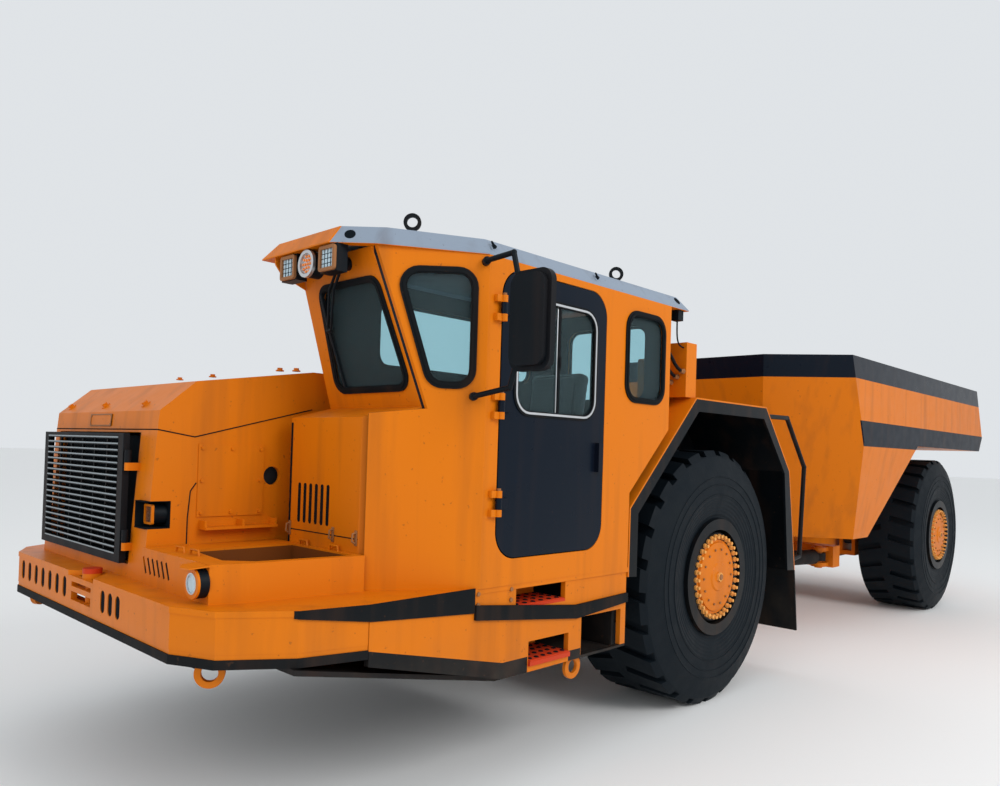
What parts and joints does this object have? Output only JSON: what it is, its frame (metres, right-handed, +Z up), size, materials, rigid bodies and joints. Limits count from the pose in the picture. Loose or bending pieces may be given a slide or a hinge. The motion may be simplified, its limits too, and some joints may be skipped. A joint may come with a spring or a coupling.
{
  "type": "articulated dump truck",
  "caption": "Low-profile articulated underground dump truck with a half-width cab, offset hood, tipping scow body and rock-lug tyres.",
  "frame": {"origin": "on the ground under the middle of the overall box", "axes": "+X forward, +Y to the left of the machine, +Z up"},
  "size_m": [10.633, 3.31, 2.8099],
  "materials": {
    "body_orange": "satin orange paint",
    "door_black": "satin blue-black paint",
    "chassis_black": "matt black paint",
    "roof_grey": "light grey paint",
    "rubber": "matt black rubber",
    "tyre": "matt black tyre rubber",
    "steel": "bare steel",
    "engine_grey": "dark grey paint",
    "rod_chrome": "hard chrome",
    "glass": "clear tinted safety glass",
    "seat_fabric": "dark woven cloth",
    "black_plastic": "matt black"
  },
  "bodies": {
    "front_unit": {"front_frame": "chassis_black", "bumper": "body_orange", "rubber_guards": "rubber", "tow_fittings": "steel", "side_skirts": "body_orange", "tray_box": "body_orange", "hood": "body_orange", "hood_cover": "body_orange", "power_pack": "engine_grey", "cab_floor": "chassis_black", "cab_front": "body_orange", "cab_corner": "body_orange", "cab_side": "body_orange", "cab_right": "body_orange", "cab_rear": "body_orange", "cab_roof": "roof_grey", "cab_glass": "glass", "seat": "seat_fabric", "controls": "black_plastic", "side_mirror": "black_plastic", "lamps": "black_plastic", "fenders": "body_orange", "front_axle": "chassis_black", "tanks": "body_orange"},
    "grille": {"grille_door": "chassis_black"},
    "cab_door": {"door_panel": "door_black", "door_glass": "glass"},
    "yoke": {"yoke": "chassis_black"},
    "rear_unit": {"rear_frame": "chassis_black", "rear_axle": "chassis_black", "rear_lamps": "black_plastic"},
    "dump_body": {"bed_floor": "body_orange", "bed_sides": "body_orange", "bed_front": "body_orange", "bed_rim": "door_black"},
    "steer_barrel_left": {"steer_barrel_l": "chassis_black"},
    "steer_rod_left": {"steer_rod_l": "rod_chrome"},
    "steer_barrel_right": {"steer_barrel_r": "chassis_black"},
    "steer_rod_right": {"steer_rod_r": "rod_chrome"},
    "hoist_barrels": {"hoist_barrels": "chassis_black"},
    "hoist_stages": {"hoist_stages": "steel"},
    "hoist_rods": {"hoist_rods": "rod_chrome"},
    "wheel_front_left": {"tyre_fl": "tyre", "wheel_fl": "body_orange"},
    "wheel_front_right": {"tyre_fr": "tyre", "wheel_fr": "body_orange"},
    "wheel_rear_left": {"tyre_rl": "tyre", "wheel_rl": "body_orange"},
    "wheel_rear_right": {"tyre_rr": "tyre", "wheel_rr": "body_orange"}
  },
  "joints": [
    {"name": "roll_joint", "type": "hinge", "parent": "front_unit", "child": "yoke", "pos_m": [0.5465, -0.205, 0.73], "axis": [1, 0, 0], "range_deg": [-8, 8]},
    {"name": "steer", "type": "hinge", "parent": "yoke", "child": "rear_unit", "pos_m": [-0.1035, -0.205, 0.7], "axis": [0, 0, 1], "range_deg": [-40, 40]},
    {"name": "tip", "type": "hinge", "parent": "rear_unit", "child": "dump_body", "pos_m": [-4.4535, -0.205, 1.65], "axis": [0, -1, 0], "range_deg": [0, 60]},
    {"name": "door_swing", "type": "hinge", "parent": "front_unit", "child": "cab_door", "pos_m": [3.9485, 1.259, 1.7], "axis": [0, 0, -1], "range_deg": [0, 85]},
    {"name": "grille_swing", "type": "hinge", "parent": "front_unit", "child": "grille", "pos_m": [5.1975, 0.007, 1.4], "axis": [0, 0, 1], "range_deg": [0, 100]},
    {"name": "steer_pivot_left", "type": "hinge", "parent": "rear_unit", "child": "steer_barrel_left", "pos_m": [-1.6535, 0.575, 0.7], "axis": [0, 0, 1], "range_deg": [-4.1, 4.1]},
    {"name": "steer_stroke_left", "type": "slide", "parent": "steer_barrel_left", "child": "steer_rod_left", "axis": [0.9625, -0.2711, 0], "range_m": [-0.2493, 0.2493]},
    {"name": "steer_pivot_right", "type": "hinge", "parent": "rear_unit", "child": "steer_barrel_right", "pos_m": [-1.6535, -0.985, 0.7], "axis": [0, 0, 1], "range_deg": [-4.1, 4.1]},
    {"name": "steer_stroke_right", "type": "slide", "parent": "steer_barrel_right", "child": "steer_rod_right", "axis": [0.9625, 0.2711, 0], "range_m": [-0.2493, 0.2493]},
    {"name": "hoist_pivot", "type": "hinge", "parent": "rear_unit", "child": "hoist_barrels", "pos_m": [-3.0535, -0.205, 0.8], "axis": [0, -1, 0], "range_deg": [-0.5, 28.91]},
    {"name": "hoist_stroke_1", "type": "slide", "parent": "hoist_barrels", "child": "hoist_stages", "axis": [0.2169, 0, 0.9762], "range_m": [-0.001, 0.7162]},
    {"name": "hoist_stroke_2", "type": "slide", "parent": "hoist_stages", "child": "hoist_rods", "axis": [0.2169, 0, 0.9762], "range_m": [-0.001, 0.7162]},
    {"name": "spin_front_left", "type": "hinge", "parent": "front_unit", "child": "wheel_front_left", "pos_m": [1.6465, 0.855, 0.875], "axis": [0, 1, 0], "continuous": true},
    {"name": "spin_front_right", "type": "hinge", "parent": "front_unit", "child": "wheel_front_right", "pos_m": [1.6465, -1.265, 0.875], "axis": [0, 1, 0], "continuous": true},
    {"name": "spin_rear_left", "type": "hinge", "parent": "rear_unit", "child": "wheel_rear_left", "pos_m": [-3.6635, 0.855, 0.875], "axis": [0, 1, 0], "continuous": true},
    {"name": "spin_rear_right", "type": "hinge", "parent": "rear_unit", "child": "wheel_rear_right", "pos_m": [-3.6635, -1.265, 0.875], "axis": [0, 1, 0], "continuous": true}
  ],
  "couplings": [
    {"joint": "steer_pivot_left", "follows": "steer", "ratio": -0.065091},
    {"joint": "steer_pivot_right", "follows": "steer", "ratio": -0.065091},
    {"joint": "steer_stroke_left", "follows": "steer", "m_per_rad": 0.30925},
    {"joint": "steer_stroke_right", "follows": "steer", "m_per_rad": -0.30925},
    {"joint": "hoist_pivot", "follows": "tip", "ratio": 0.47356},
    {"joint": "hoist_stroke_1", "follows": "tip", "m_per_rad": 0.68203},
    {"joint": "hoist_stroke_2", "follows": "tip", "m_per_rad": 0.68203}
  ]
}
